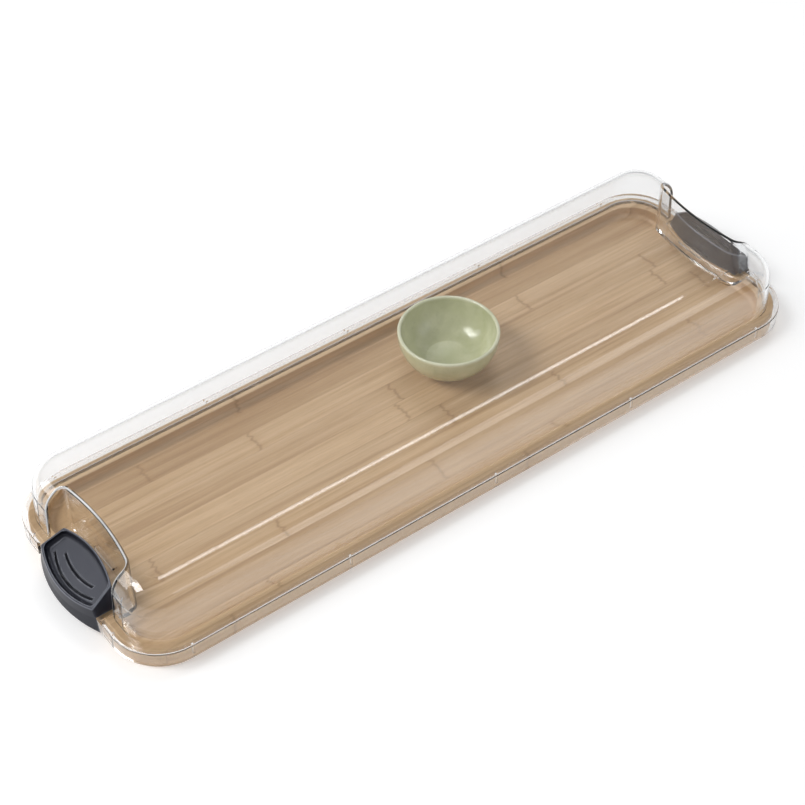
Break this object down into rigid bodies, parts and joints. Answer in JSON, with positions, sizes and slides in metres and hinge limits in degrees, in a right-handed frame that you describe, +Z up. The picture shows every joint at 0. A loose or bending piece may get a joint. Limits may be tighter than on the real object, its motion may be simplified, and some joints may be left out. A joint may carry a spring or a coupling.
{
  "type": "covered serving board",
  "caption": "Long bamboo serving tray with a recess, a clear domed lid clipped down by hinged black end handles, and a small loose glazed dip bowl.",
  "frame": {"origin": "centre of the footprint, on the surface the feet stand on", "axes": "+X along the board's length towards the right handle, +Y to the back, +Z up"},
  "size_m": [0.597, 0.1842, 0.0613],
  "materials": {
    "bamboo": "satin oiled",
    "clear_plastic": "clear gloss",
    "black_plastic": "satin",
    "bracket_plastic": "matte",
    "pin_steel": "brushed",
    "screw_steel": "zinc plated",
    "foot_rubber": "matte",
    "glazed_stoneware": "gloss glaze"
  },
  "bodies": {
    "tray": {"bamboo_board": "bamboo", "left_hinge_bracket": "bracket_plastic", "right_hinge_bracket": "bracket_plastic", "left_hinge_pin": "pin_steel", "right_hinge_pin": "pin_steel", "left_bracket_screws": "screw_steel", "right_bracket_screws": "screw_steel", "front_left_foot": "foot_rubber", "front_right_foot": "foot_rubber", "back_left_foot": "foot_rubber", "back_right_foot": "foot_rubber"},
    "cover": {"lid": "clear_plastic"},
    "left_latch": {"left_handle": "black_plastic"},
    "right_latch": {"right_handle": "black_plastic"},
    "bowl": {"dip_bowl": "glazed_stoneware"}
  },
  "joints": [
    {"name": "lid_lift", "type": "slide", "parent": "tray", "child": "cover", "axis": [0, 0, 1], "range_m": [0, 0.1]},
    {"name": "left_handle_hinge", "type": "hinge", "parent": "tray", "child": "left_latch", "pos_m": [-0.2887, 0, 0.0105], "axis": [0, -1, 0], "range_deg": [0, 75]},
    {"name": "right_handle_hinge", "type": "hinge", "parent": "tray", "child": "right_latch", "pos_m": [0.2887, 0, 0.0105], "axis": [0, 1, 0], "range_deg": [0, 75]},
    {"name": "bowl_lift", "type": "slide", "parent": "tray", "child": "bowl", "axis": [0, 0, 1], "range_m": [0, 0.015]}
  ]
}
